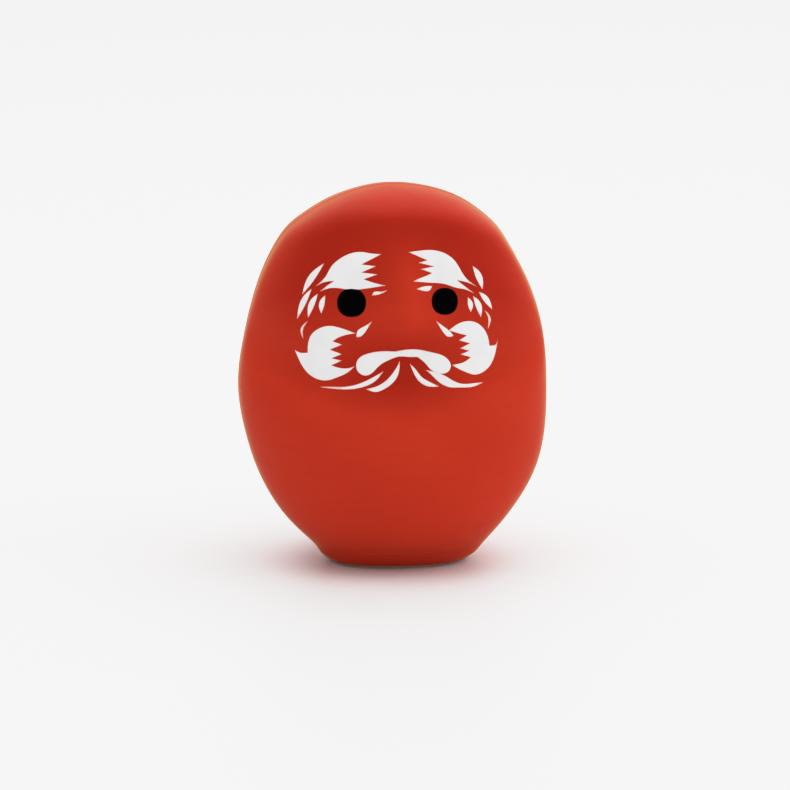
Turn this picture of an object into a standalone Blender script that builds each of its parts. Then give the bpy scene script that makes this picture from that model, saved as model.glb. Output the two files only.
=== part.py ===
"""Daruma doll, 100 mm tall, standing at the origin with its face towards -Y.

Two halves of a hollow paper-pulp shell close over a stepped clay weight. The
weight's flange is the visible foot, its spigot goes up into the shell, and a
paper disc under it is the face that the doll stands on. A paper strip inside
bridges the join between the halves. The face is painted on the shell's relief:
each mark is a thin solid that follows the surface under it.

Sizes are in millimetres up to make_part, which scales them to metres.
"""

import math

import bpy
import numpy as np
from mathutils import Vector
from mathutils.bvhtree import BVHTree
from mathutils.geometry import delaunay_2d_cdt

MM = 0.001

# The shell's cross-sections from the base up: height, then how far each one
# reaches to the left, to the right, to the front and to the back of the line
# where the seam plane meets the plane of symmetry, and the exponent of its
# front half.
RINGS = (
    (0.0, 16.2, 17.9, 12.4, 23.4, 2.15),
    (0.8, 18.1, 20.4, 14.0, 25.6, 2.15),
    (5.3, 21.1, 24.0, 18.8, 29.0, 2.15),
    (12.0, 28.1, 29.6, 26.4, 36.0, 2.15),
    (22.0, 34.5, 36.3, 31.5, 42.0, 2.15),
    (34.0, 38.5, 39.9, 33.8, 45.2, 2.15),
    (47.0, 40.6, 40.6, 33.2, 46.0, 2.15),
    (61.0, 39.0, 39.2, 31.9, 45.0, 2.3),
    (75.0, 35.4, 35.0, 30.4, 41.6, 2.7),
    (86.0, 29.9, 29.4, 28.4, 36.0, 3.1),
    (91.0, 24.9, 25.3, 27.6, 31.8, 3.2),
    (95.3, 18.1, 19.4, 25.2, 25.6, 2.9),
    (98.7, 9.4, 10.5, 15.8, 14.8, 2.5),
)
HEIGHT = 100.0
SEAM_Y = -6.25
SQUARENESS = 2.15        # exponent of the back half and the base, 2 would be an ellipse
FOOT_ROW = 1             # the ring where the foot's side starts
SHELL_ROW = 2            # the ring where the shell starts
WIDEST_ROW = 6

WALL = 1.8
GAP = 0.3                # clearance between pieces that touch on the real doll
DISC_THICKNESS = 0.5
FLANGE_TOP = RINGS[SHELL_ROW][0] - GAP
FLANGE_RINGS = 5
SPIGOT_TOP = 13.0
SPIGOT_CHAMFER = 1.5
SPIGOT_CLEARANCE = 0.6
STRIP_WIDTH = 8.0
STRIP_THICKNESS = 0.5
STRIP_CLEARANCE = 0.6
STRIP_FOOT = 15.0        # height of the strip's two ends, above the spigot
MARK_THICKNESS = 0.4
FILL_MARGIN = 0.45       # how near a mark's edge its inner points come, in spacings

# The face is let into the front, between the hood's brim above and the chest
# below. The brim comes down and the chest climbs towards the sides.
BRIM_TOP = 97.0
BRIM_MIDDLE = -3.5
BRIM_DROP = 22.0
BRIM_BEND = 35.5         # reach at which most of the drop is done
CHEST_TOP = 48.3
CHEST_LIFT = 0.0072
FACE_DEPTH = 5.1
# Share of the way from the brim to the chest, share of the full depth.
FACE_PROFILE = (
    (-0.20, 0.0),
    (-0.04, 0.0),
    (0.05, 0.20),
    (0.13, 0.39),
    (0.40, 0.52),
    (0.72, 0.73),
    (0.97, 1.0),
    (1.06, 0.82),
    (1.16, 0.44),
    (1.27, 0.13),
    (1.38, 0.0),
    (1.50, 0.0),
)

# Rounded swellings (+) and hollows (-) of the front: distance from the middle,
# height, half width, half height, rise. These have a mirrored twin.
PAIRED_SWELLINGS = (
    (13.0, 82.5, 8.0, 4.0, 0.8),       # brows
    (12.5, 75.0, 6.0, 4.5, -0.9),      # eye sockets
    (19.0, 43.0, 14.0, 4.5, 0.6),      # chest
)
SWELLINGS = (
    (0.0, 94.5, 22.0, 2.4, 0.3),       # hood brim
    (1.6, 82.0, 4.5, 6.0, 1.0),        # between the brows
    (1.6, 74.5, 4.8, 7.5, 2.3),        # bridge of the nose
    (1.8, 67.5, 6.0, 4.2, 3.1),        # tip of the nose
    (8.6, 67.0, 3.6, 3.8, 1.0),        # right wing of the nose
    (-5.6, 67.8, 4.0, 4.6, 1.2),       # left wing of the nose
    (19.0, 65.0, 8.0, 6.0, 0.8),       # right cheek
    (-19.0, 64.0, 8.0, 6.0, 0.6),      # left cheek
    (1.0, 60.5, 10.0, 2.8, -0.6),      # under the nose
    (0.0, 51.0, 16.0, 2.8, -0.7),      # under the chin
)
RELIEF_START = 0.05      # share of the front reach where the relief fades in
RELIEF_FULL = 0.70
CROWN_REACH = 12.0       # the relief dies away on rings with less front reach

FRONT_GRID = (30, 36)    # rows from the foot to the crown, columns around
BACK_GRID = (20, 24)
PLUG_COLUMNS = 36
STRIP_STATIONS = 34

# The marks are laid out on a flat stencil that stands square to the line from
# the painter's eye to the doll's middle. A point on it is (across, up) from the
# spot between the pupils, and is carried on along the eye's line of sight.
DOLL_MIDDLE = Vector((0.0, 0.0, 50.0))
EYE_TURN = math.radians(-3.0)
EYE_RISE = math.radians(9.5)
EYE_DISTANCE = 1100.0
STENCIL_DISTANCE = 1065.4
STENCIL_ORIGIN = (1.36, 17.2)

# An outline is a closed run of stretches. Each stretch is a smooth curve from
# the last corner through its own points, and its last point is a corner.
BROW_LEFT = (
    ((-7.1, 12.5), (-8.5, 12.75), (-12.3, 12.3), (-14.6, 11.1), (-16.9, 9.0),
     (-18.2, 6.7), (-21.0, 3.9)),
    ((-18.9, 4.95), (-16.1, 5.4)),
    ((-17.9, 4.2), (-19.7, 2.7)),
    ((-17.0, 3.6), (-12.3, 3.35), (-8.4, 3.5), (-2.9, 4.2)),
    ((-5.0, 4.65), (-8.5, 5.8)),
    ((-5.0, 7.05),),
    ((-9.1, 7.55),),
    ((-5.4, 9.15),),
    ((-9.1, 9.6),),
    ((-7.0, 10.7), (-4.0, 12.25)),
)
BROW_RIGHT = (
    ((6.3, 11.3), (7.8, 10.65)),
    ((5.5, 10.05),),
    ((9.5, 9.1),),
    ((6.1, 8.4),),
    ((9.0, 7.4),),
    ((7.4, 6.65), (5.6, 5.95), (4.2, 5.25)),
    ((9.0, 4.9), (12.3, 4.55), (15.3, 3.6), (17.0, 3.3), (19.8, 2.2)),
    ((17.4, 4.0), (15.4, 5.55)),
    ((17.3, 5.2), (20.6, 3.9)),
    ((17.8, 6.0), (16.3, 8.2), (15.0, 10.3), (12.4, 12.4), (8.8, 13.3),
     (6.4, 13.2), (3.0, 12.75)),
)
DASH_LEFT = (
    ((-6.0, 2.45), (-4.2, 2.65), (-2.5, 3.0)),
    ((-4.0, 2.1), (-6.4, 1.65)),
)
DASH_RIGHT = (
    ((6.6, 2.85), (8.2, 2.85), (9.0, 4.05)),
    ((7.4, 4.05), (5.0, 3.3)),
)
NOSE_STROKE_LEFT = (
    ((-8.5, -6.3), (-10.1, -7.4), (-10.45, -9.0)),
    ((-9.7, -9.0), (-7.8, -7.2), (-6.4, -5.0)),
)
NOSE_STROKE_RIGHT = (
    ((10.9, -6.3), (12.0, -8.0), (13.2, -8.95), (14.5, -8.7)),
    ((13.8, -7.8), (12.6, -6.75), (10.05, -4.95)),
)
WHISKER_LEFT = (
    ((-12.1, -7.5), (-14.4, -6.7), (-17.0, -6.15), (-20.0, -6.8),
     (-22.1, -8.6), (-22.85, -11.0), (-22.9, -13.0)),
    ((-24.7, -13.0), (-26.2, -12.3)),
    ((-25.0, -15.1), (-23.2, -17.9), (-20.9, -19.6), (-18.5, -20.15),
     (-15.2, -19.3), (-12.6, -18.05), (-10.85, -16.5)),
    ((-12.6, -17.0), (-15.2, -16.8), (-16.8, -16.25)),
    ((-14.2, -15.05),),
    ((-16.8, -14.45),),
    ((-14.2, -13.4),),
    ((-17.2, -12.2),),
    ((-14.1, -10.95),),
    ((-16.5, -10.1),),
    ((-15.3, -9.3), (-13.2, -8.5), (-10.6, -8.05)),
)
WHISKER_RIGHT = (
    ((15.8, -8.05), (17.9, -8.6)),
    ((15.9, -9.85),),
    ((18.7, -10.6),),
    ((16.2, -11.9),),
    ((18.5, -12.5),),
    ((16.3, -13.45),),
    ((18.9, -14.15),),
    ((17.4, -15.3), (15.6, -15.9), (14.1, -16.15)),
    ((15.7, -17.1), (18.0, -18.15), (20.0, -18.65), (22.0, -18.0),
     (23.9, -16.2), (25.2, -13.0), (25.85, -9.5)),
    ((25.3, -10.9), (23.7, -11.2)),
    ((23.3, -9.0), (22.1, -6.7), (20.2, -5.25), (18.3, -4.9), (15.7, -5.6),
     (13.3, -7.3)),
)
MOUSTACHE = (
    ((2.2, -12.25), (5.3, -12.2), (8.9, -12.9), (11.4, -13.6), (13.2, -14.9),
     (13.8, -16.4), (13.1, -17.9), (11.2, -18.4), (9.1, -17.7), (7.0, -15.5),
     (5.2, -14.1)),
    ((3.0, -14.1), (0.6, -14.0), (-1.6, -14.7), (-5.0, -16.8), (-6.0, -17.9),
     (-8.1, -18.9), (-10.0, -17.9), (-10.5, -16.6), (-9.9, -14.6), (-8.2, -13.5),
     (-5.4, -12.8), (-2.3, -12.6), (-0.5, -12.7)),
)
CHIN_INNER_LEFT = (
    ((0.0, -16.6), (-1.2, -18.4), (-3.1, -20.4), (-5.4, -21.7), (-7.9, -22.35)),
    ((-5.6, -23.1), (-3.0, -22.2), (-1.1, -20.8), (0.3, -18.6), (0.7, -15.1)),
)
CHIN_INNER_RIGHT = (
    ((4.3, -18.3), (5.7, -20.4), (7.4, -21.5), (10.8, -21.7)),
    ((8.2, -20.4), (6.2, -19.1), (4.8, -17.3), (3.3, -15.85)),
)
CHIN_OUTER_LEFT = (
    ((-6.2, -19.35), (-9.4, -20.85), (-13.3, -21.75), (-17.0, -21.75), (-19.8, -21.8)),
    ((-16.4, -22.25), (-12.0, -22.4), (-8.6, -21.8), (-5.6, -20.3), (-3.5, -17.8)),
)
CHIN_OUTER_RIGHT = (
    ((9.0, -18.9), (11.2, -20.9), (13.4, -21.85), (16.4, -21.95), (19.2, -21.8),
     (22.1, -20.6)),
    ((19.6, -20.85), (16.9, -21.0), (14.8, -20.4), (12.4, -19.0), (7.4, -17.45)),
)
PUPIL_LEFT = (-11.65, -0.4, 3.65, 3.4)      # centre across and up, half width, half height
PUPIL_RIGHT = (12.25, 0.15, 3.35, 3.45)

# A hair stroke is a leaf: root, middle and tip of its spine, and its full width.
TEMPLE_LEFT = (
    ((-18.7, 9.9), (-21.9, 6.2), (-24.3, 1.9), 1.7),
    ((-21.9, 3.4), (-24.0, 0.0), (-25.6, -4.4), 1.5),
    ((-20.3, 2.1), (-21.9, -0.6), (-22.8, -4.1), 1.5),
    ((-18.4, 1.7), (-19.3, -0.5), (-19.4, -3.0), 1.4),
    ((-22.9, -4.9), (-24.4, -7.0), (-24.0, -9.4), 0.6),
)
TEMPLE_RIGHT = (
    ((19.4, 9.2), (21.0, 6.5), (21.9, 3.2), 1.6),
    ((21.0, 2.6), (22.8, 0.7), (24.4, -1.9), 1.4),
    ((19.5, 1.5), (20.9, -0.9), (21.5, -3.9), 1.5),
    ((18.2, 1.2), (18.8, -0.6), (18.9, -2.6), 1.3),
    ((22.5, -2.2), (23.7, -4.2), (23.3, -6.9), 0.6),
)

RED = (0.58, 0.045, 0.02, 1.0)
WHITE = (0.84, 0.84, 0.83, 1.0)
BLACK = (0.006, 0.006, 0.007, 1.0)
KRAFT = (0.42, 0.33, 0.22, 1.0)
PLAIN_PAPER = (0.70, 0.66, 0.58, 1.0)
PAINTED_ROUGHNESS = 0.65
PAPER_ROUGHNESS = 0.9


def clear_scene():
    for old in list(bpy.data.objects):
        bpy.data.objects.remove(old, do_unlink=True)


# Curves and surfaces

def cubic_curve(knots, values):
    """The natural cubic curve through values at knots, as a function of the knot value."""
    knots = np.asarray(knots, float)
    values = np.asarray(values, float)
    steps = np.diff(knots)
    count = len(knots)
    matrix = np.eye(count)
    values = values.reshape(count, -1)
    right_side = np.zeros_like(values)
    slopes = np.diff(values, axis=0) / steps[:, None]
    for i in range(1, count - 1):
        matrix[i, i - 1:i + 2] = (steps[i - 1], 2 * (steps[i - 1] + steps[i]), steps[i])
        right_side[i] = 6 * (slopes[i] - slopes[i - 1])
    bends = np.linalg.solve(matrix, right_side)

    def at(where):
        where = np.asarray(where, float)
        i = np.clip(np.searchsorted(knots, where, side="right") - 1, 0, count - 2)
        step = steps[i][..., None]
        b = (where - knots[i])[..., None] / step
        a = 1 - b
        bend = ((a ** 3 - a) * bends[i] + (b ** 3 - b) * bends[i + 1]) * step ** 2 / 6
        result = a * values[i] + b * values[i + 1] + bend
        return result[..., 0] if values.shape[1] == 1 else result

    return at


def shell_loft():
    """The rings as one curve that runs on over the crown, so the crown is round."""
    up = np.array(RINGS)
    over = up[::-1] * (1, -1, -1, -1, -1, 1)
    crown = ((HEIGHT, 0, 0, 0, 0, SQUARENESS),)
    table = np.concatenate((up, crown, over))
    return cubic_curve(np.arange(len(table)), table)


LOFT = shell_loft()
CROWN_ROW = len(RINGS)
FACE_CURVE = cubic_curve(*zip(*FACE_PROFILE))


def gentle(share):
    """A share from 0 to 1 that eases in and out."""
    share = np.clip(share, 0, 1)
    return share * share * (3 - 2 * share)


def swelling(x, z, middle, height, half_width, half_height, amount):
    return amount * np.exp(-((x - middle) / half_width) ** 2 - ((z - height) / half_height) ** 2)


def relief(x, z):
    """How far the front stands proud of the plain loft at this place."""
    brim = BRIM_TOP - BRIM_DROP * (1 - np.exp(-((x - BRIM_MIDDLE) / BRIM_BEND) ** 4))
    chest = CHEST_TOP + CHEST_LIFT * x ** 2
    share = np.clip((brim - z) / (brim - chest), FACE_PROFILE[0][0], FACE_PROFILE[-1][0])
    rise = -FACE_DEPTH * FACE_CURVE(share)
    for spot in SWELLINGS:
        rise = rise + swelling(x, z, *spot)
    for middle, *rest in PAIRED_SWELLINGS:
        rise = rise + swelling(x, z, middle, *rest) + swelling(x, z, -middle, *rest)
    return rise


def skin(rows, turns):
    """Points of the shell's outer surface. A turn is an angle from +X towards +Y."""
    z, left, right, front, back, squareness = np.moveaxis(LOFT(rows), -1, 0)
    power = 2 / np.where(np.sin(turns) > 0, SQUARENESS, squareness)
    across = np.sign(np.cos(turns)) * np.abs(np.cos(turns)) ** power
    deep = np.sign(np.sin(turns)) * np.abs(np.sin(turns)) ** power
    x = np.where(across > 0, right, left) * across
    y = SEAM_Y + np.where(deep > 0, back, front) * deep
    forward = gentle((-deep - RELIEF_START) / (RELIEF_FULL - RELIEF_START))
    y = y - forward * gentle(front / CROWN_REACH) * relief(x, z)
    return np.stack((x, y, z), axis=-1)


def skin_normals(rows, turns):
    """Outward unit normals of the skin, from points close by."""
    small = 0.001
    rows = np.clip(rows, 0, CROWN_ROW - small)
    along = skin(rows + small, turns) - skin(rows - small, turns)
    around = skin(rows, turns + small) - skin(rows, turns - small)
    normals = np.cross(around, along)
    return normals / np.linalg.norm(normals, axis=-1, keepdims=True)


def reach_at(height):
    """The ring at a height below the widest one, as left, right, front and back."""
    table = np.array(RINGS[:WIDEST_ROW + 1])
    return cubic_curve(table[:, 0], table[:, 1:5])(height)


def ring_points(reaches, height, columns):
    """One closed level cross-section with the given reaches."""
    left, right, front, back = reaches
    turns = np.arange(columns) * 2 * math.pi / columns
    power = 2 / SQUARENESS
    across = np.sign(np.cos(turns)) * np.abs(np.cos(turns)) ** power
    deep = np.sign(np.sin(turns)) * np.abs(np.sin(turns)) ** power
    x = np.where(across > 0, right, left) * across
    y = SEAM_Y + np.where(deep > 0, back, front) * deep
    return np.stack((x, y, np.full(columns, height)), axis=-1)


# Meshes

def make_part(name, points, faces, colour, roughness):
    """An object whose origin is the middle of its points, on the doll's empty."""
    points = np.asarray(points, float)
    origin = (points.min(axis=0) + points.max(axis=0)) / 2
    mesh = bpy.data.meshes.new(name)
    mesh.from_pydata((points - origin) * MM, [], faces)
    mesh.validate()
    mesh.shade_smooth()
    mesh.set_sharp_from_angle(angle=math.radians(40))
    mesh.materials.append(make_material(name, colour, roughness))
    part = bpy.data.objects.new(name, mesh)
    part.location = origin * MM
    part.parent = bpy.data.objects["daruma"]
    bpy.context.scene.collection.objects.link(part)
    return part


def make_material(name, colour, roughness):
    material = bpy.data.materials.new(name)
    material.use_nodes = True
    shader = material.node_tree.nodes["Principled BSDF"]
    shader.inputs["Base Color"].default_value = colour
    shader.inputs["Roughness"].default_value = roughness
    shader.inputs["Metallic"].default_value = 0.0
    return material


def bridge(lower, upper, closed):
    """Quads between two runs of vertex numbers, facing out when they run from +X to +Y."""
    count = len(lower)
    spans = count if closed else count - 1
    faces = []
    for i in range(spans):
        j = (i + 1) % count
        faces.append((lower[i], lower[j], upper[j], upper[i]))
    return faces


def stacked_rings(rings):
    """A closed solid through level rings, with a flat cap at each end."""
    columns = len(rings[0])
    numbers = np.arange(len(rings) * columns).reshape(len(rings), columns).tolist()
    faces = [tuple(reversed(numbers[0])), tuple(numbers[-1])]
    for lower, upper in zip(numbers, numbers[1:]):
        faces += bridge(lower, upper, closed=True)
    return np.concatenate(rings), faces


# The shell

def half_shell(name, first_turn, grid):
    """Half of the shell, from first_turn half a turn on, open below and at the seam."""
    row_count, column_count = grid
    rows = np.linspace(SHELL_ROW, CROWN_ROW, row_count + 1)[:-1]
    turns = first_turn + np.linspace(0, math.pi, column_count + 1)
    row_grid, turn_grid = np.meshgrid(rows, turns, indexing="ij")
    outer = skin(row_grid, turn_grid)
    inner = outer - WALL * skin_normals(row_grid, turn_grid)
    inner[0, :, 2] = outer[0, :, 2]
    side = math.copysign(1, math.sin(first_turn + math.pi / 2))
    seam = SEAM_Y + side * GAP / 2
    crown_outer = np.array((0.0, seam, HEIGHT))
    crown_inner = np.array((0.0, seam, HEIGHT - WALL))
    for sheet in (outer, inner):
        sheet[:, (0, -1), 1] = seam
        sheet[..., 1] = seam + side * np.maximum(side * (sheet[..., 1] - seam), 0)

    size = row_count * (column_count + 1)
    outside = np.arange(size).reshape(row_count, column_count + 1).tolist()
    inside = (np.arange(size).reshape(row_count, column_count + 1) + size).tolist()
    top_out = 2 * size
    top_in = 2 * size + 1
    faces = []
    for lower, upper in zip(outside, outside[1:]):
        faces += bridge(lower, upper, closed=False)
    for lower, upper in zip(inside, inside[1:]):
        faces += [tuple(reversed(face)) for face in bridge(lower, upper, closed=False)]
    for i in range(column_count):
        faces.append((outside[-1][i], outside[-1][i + 1], top_out))
        faces.append((inside[-1][i + 1], inside[-1][i], top_in))
    faces += bridge(inside[0], outside[0], closed=False)
    first_edge = [row[0] for row in outside] + [top_out]
    first_inner = [row[0] for row in inside] + [top_in]
    last_edge = [row[-1] for row in outside] + [top_out]
    last_inner = [row[-1] for row in inside] + [top_in]
    faces += bridge(first_edge, first_inner, closed=False)
    faces += bridge(last_inner, last_edge, closed=False)
    points = np.concatenate((outer.reshape(-1, 3), inner.reshape(-1, 3),
                             crown_outer[None], crown_inner[None]))
    return make_part(name, points, faces, RED, PAINTED_ROUGHNESS)


def seam_strip():
    """A paper band on the inside that arches over the seam."""
    depth = WALL + STRIP_CLEARANCE
    rows = np.linspace(SHELL_ROW, CROWN_ROW, 400)[:-1]
    sides = []
    for turn in (math.pi, 0.0):
        turns = np.full(len(rows), turn)
        edge = skin(rows, turns) - depth * skin_normals(rows, turns)
        edge = edge[edge[:, 2] > STRIP_FOOT]
        sides.append(edge)
    crown = np.array(((0.0, SEAM_Y, HEIGHT - depth),))
    arch = np.concatenate((sides[0], crown, sides[1][::-1]))[:, (0, 2)]
    lengths = np.linalg.norm(np.diff(arch, axis=0), axis=1)
    travelled = np.concatenate(((0.0,), np.cumsum(lengths)))
    stations = np.linspace(0, travelled[-1], STRIP_STATIONS)
    middle = np.stack([np.interp(stations, travelled, arch[:, i]) for i in (0, 1)], axis=-1)
    tangents = np.gradient(middle, axis=0)
    tangents /= np.linalg.norm(tangents, axis=1, keepdims=True)
    inward = np.stack((tangents[:, 1], -tangents[:, 0]), axis=-1)
    under = middle + STRIP_THICKNESS * inward
    loops = []
    for outer, inner in zip(middle, under):
        corners = ((outer, -1), (outer, 1), (inner, 1), (inner, -1))
        loops.append([(spot[0], SEAM_Y + side * STRIP_WIDTH / 2, spot[1]) for spot, side in corners])
    numbers = np.arange(4 * STRIP_STATIONS).reshape(STRIP_STATIONS, 4).tolist()
    faces = [tuple(numbers[0]), tuple(reversed(numbers[-1]))]
    for before, after in zip(numbers, numbers[1:]):
        faces += [tuple(reversed(face)) for face in bridge(before, after, closed=True)]
    points = np.array(loops).reshape(-1, 3)
    return make_part("seam_strip", points, faces, PLAIN_PAPER, PAPER_ROUGHNESS)


# The base

def base_weight():
    """Clay plug: a flange that follows the doll's outline, and a spigot inside the shell."""
    rings = []
    foot_start = RINGS[FOOT_ROW][0]
    for height in np.linspace(foot_start, FLANGE_TOP, FLANGE_RINGS):
        rings.append(ring_points(reach_at(height), height, PLUG_COLUMNS))
    mouth = np.array(RINGS[SHELL_ROW][1:5]) - WALL * math.sqrt(2) - SPIGOT_CLEARANCE
    shoulder = SPIGOT_TOP - SPIGOT_CHAMFER
    taper = ((0.0, FLANGE_TOP), (0.0, shoulder), (SPIGOT_CHAMFER, SPIGOT_TOP))
    for inset, height in taper:
        rings.append(ring_points(mouth - inset, height, PLUG_COLUMNS))
    points, faces = stacked_rings(rings)
    return make_part("base_weight", points, faces, RED, PAINTED_ROUGHNESS)


def base_paper():
    """The paper disc that the doll stands on."""
    reaches = RINGS[0][1:5]
    rings = [ring_points(reaches, height, PLUG_COLUMNS) for height in (0.0, DISC_THICKNESS)]
    points, faces = stacked_rings(rings)
    return make_part("base_paper", points, faces, KRAFT, PAPER_ROUGHNESS)


# The painted marks

class Stencil:
    """Carries points of the flat stencil on to the doll's front."""

    def __init__(self, shell):
        mesh = shell.data
        points = [(vertex.co + shell.location) / MM for vertex in mesh.vertices]
        polygons = [tuple(polygon.vertices) for polygon in mesh.polygons]
        self.surface = BVHTree.FromPolygons(points, polygons)
        back = Vector((math.sin(EYE_TURN) * math.cos(EYE_RISE),
                       -math.cos(EYE_TURN) * math.cos(EYE_RISE),
                       math.sin(EYE_RISE)))
        self.eye = DOLL_MIDDLE + back * EYE_DISTANCE
        self.ahead = -back
        self.across = self.ahead.cross(Vector((0, 0, 1))).normalized()
        self.up = self.across.cross(self.ahead)

    def spot(self, place):
        """The point of the surface behind a place on the stencil."""
        across = place[0] + STENCIL_ORIGIN[0]
        up = place[1] + STENCIL_ORIGIN[1]
        ray = self.ahead * STENCIL_DISTANCE + self.across * across + self.up * up
        return self.surface.ray_cast(self.eye, ray.normalized())[0]

    def normal(self, place, spread=1.2):
        """The surface's outward direction there, averaged over a small patch."""
        right = self.spot((place[0] + spread, place[1]))
        left = self.spot((place[0] - spread, place[1]))
        top = self.spot((place[0], place[1] + spread))
        bottom = self.spot((place[0], place[1] - spread))
        return (right - left).cross(top - bottom).normalized()


def outline_points(stretches, spacing):
    """Points along an outline, corners included, about one spacing apart."""
    corner = stretches[-1][-1]
    points = []
    for stretch in stretches:
        nodes = np.array((corner,) + tuple(stretch))
        travelled = np.concatenate(((0.0,), np.cumsum(np.linalg.norm(np.diff(nodes, axis=0), axis=1))))
        count = max(1, round(travelled[-1] / spacing))
        curve = cubic_curve(travelled, nodes)
        points += curve(np.linspace(0, travelled[-1], count + 1)[:-1]).tolist()
        corner = stretch[-1]
    return points


def oval_points(oval, spacing):
    """Points round an oval, given as its centre and half axes."""
    across, up, half_width, half_height = oval
    count = round(math.pi * (half_width + half_height) / spacing)
    turns = np.arange(count) * 2 * math.pi / count
    x = across + half_width * np.cos(turns)
    y = up + half_height * np.sin(turns)
    return np.stack((x, y), axis=-1).tolist()


def leaf_points(leaf, spacing):
    """Points round a curved leaf, widest in the middle and sharp at both ends."""
    root, middle, tip, width = leaf
    spine = cubic_curve((0.0, 0.5, 1.0), (root, middle, tip))
    count = max(4, round(math.dist(root, tip) / spacing))
    shares = np.linspace(0, 1, count + 1)
    centres = spine(shares)
    tangents = np.gradient(centres, axis=0)
    tangents /= np.linalg.norm(tangents, axis=1, keepdims=True)
    sideways = np.stack((-tangents[:, 1], tangents[:, 0]), axis=-1)
    half = (np.sin(shares * math.pi) * width / 2)[:, None]
    return np.concatenate(((centres + half * sideways)[:-1], (centres - half * sideways)[:0:-1])).tolist()


def anticlockwise(points):
    x, y = np.array(points).T
    area = np.sum(x * np.roll(y, -1) - np.roll(x, -1) * y)
    return points if area > 0 else points[::-1]


def inner_points(outline, spacing):
    """A staggered grid of points well inside an outline."""
    edge = np.array(outline)
    after = np.roll(edge, -1, axis=0)
    low = edge.min(axis=0)
    high = edge.max(axis=0)
    found = []
    row_step = spacing * math.sqrt(3) / 2
    for row, y in enumerate(np.arange(low[1] + row_step / 2, high[1], row_step)):
        for x in np.arange(low[0] + (row % 2) * spacing / 2, high[0], spacing):
            crossed = (edge[:, 1] > y) != (after[:, 1] > y)
            rise = np.where(crossed, after[:, 1] - edge[:, 1], 1)
            meets = edge[:, 0] + (y - edge[:, 1]) / rise * (after[:, 0] - edge[:, 0])
            inside = np.count_nonzero(crossed & (meets > x)) % 2 == 1
            span = after - edge
            share = np.clip(np.sum(((x, y) - edge) * span, axis=1) / np.sum(span ** 2, axis=1), 0, 1)
            nearest = np.min(np.linalg.norm(edge + share[:, None] * span - (x, y), axis=1))
            if inside and nearest > spacing * FILL_MARGIN:
                found.append((float(x), float(y)))
    return found


def paint_sheet(stencil, outline, spacing, thickness):
    """A thin closed solid over an outline, one gap clear of the surface."""
    outline = anticlockwise(outline)
    flat = [Vector(point) for point in outline + inner_points(outline, spacing)]
    border = [list(range(len(outline)))]
    filled = delaunay_2d_cdt(flat, [], border, 1, 1e-6)
    flat_points, triangles = filled[0], filled[2]
    under = []
    over = []
    for point in flat_points:
        spot = stencil.spot(point)
        normal = stencil.normal(point)
        under.append(spot + normal * GAP)
        over.append(spot + normal * (GAP + thickness))
    count = len(flat_points)
    faces = [tuple(triangle) for triangle in triangles]
    edges = {(face[i], face[(i + 1) % 3]) for face in faces for i in range(3)}
    rim = sorted(edge for edge in edges if (edge[1], edge[0]) not in edges)
    solid = [tuple(i + count for i in face) for face in faces]
    solid += [tuple(reversed(face)) for face in faces]
    solid += [(a, b, b + count, a + count) for a, b in rim]
    return under + over, solid


def mark(name, stencil, outline, colour, spacing=2.4):
    """One painted node."""
    points, faces = paint_sheet(stencil, outline, spacing, MARK_THICKNESS)
    return make_part(name, points, faces, colour, PAINTED_ROUGHNESS)


def painted_face(shell):
    stencil = Stencil(shell)
    shapes = {
        "brow_left": BROW_LEFT,
        "brow_right": BROW_RIGHT,
        "brow_dash_left": DASH_LEFT,
        "brow_dash_right": DASH_RIGHT,
        "nose_stroke_left": NOSE_STROKE_LEFT,
        "nose_stroke_right": NOSE_STROKE_RIGHT,
        "whisker_left": WHISKER_LEFT,
        "whisker_right": WHISKER_RIGHT,
        "moustache": MOUSTACHE,
        "chin_stroke_inner_left": CHIN_INNER_LEFT,
        "chin_stroke_inner_right": CHIN_INNER_RIGHT,
        "chin_stroke_outer_left": CHIN_OUTER_LEFT,
        "chin_stroke_outer_right": CHIN_OUTER_RIGHT,
    }
    for name, stretches in shapes.items():
        mark(name, stencil, outline_points(stretches, spacing=1.8), WHITE)
    for side, leaves in (("left", TEMPLE_LEFT), ("right", TEMPLE_RIGHT)):
        for number, leaf in enumerate(leaves, start=1):
            outline = leaf_points(leaf, spacing=1.5)
            mark(f"temple_stroke_{side}_{number}", stencil, outline, WHITE)
    for name, oval in (("pupil_left", PUPIL_LEFT), ("pupil_right", PUPIL_RIGHT)):
        mark(name, stencil, oval_points(oval, spacing=1.0), BLACK)


def main():
    clear_scene()
    doll = bpy.data.objects.new("daruma", None)
    bpy.context.scene.collection.objects.link(doll)
    front = half_shell("front_shell", math.pi, FRONT_GRID)
    half_shell("back_shell", 0.0, BACK_GRID)
    seam_strip()
    base_weight()
    base_paper()
    painted_face(front)


main()
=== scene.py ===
import math

import bpy
import numpy as np
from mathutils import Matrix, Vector
from mathutils.bvhtree import BVHTree
from mathutils.geometry import delaunay_2d_cdt


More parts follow.
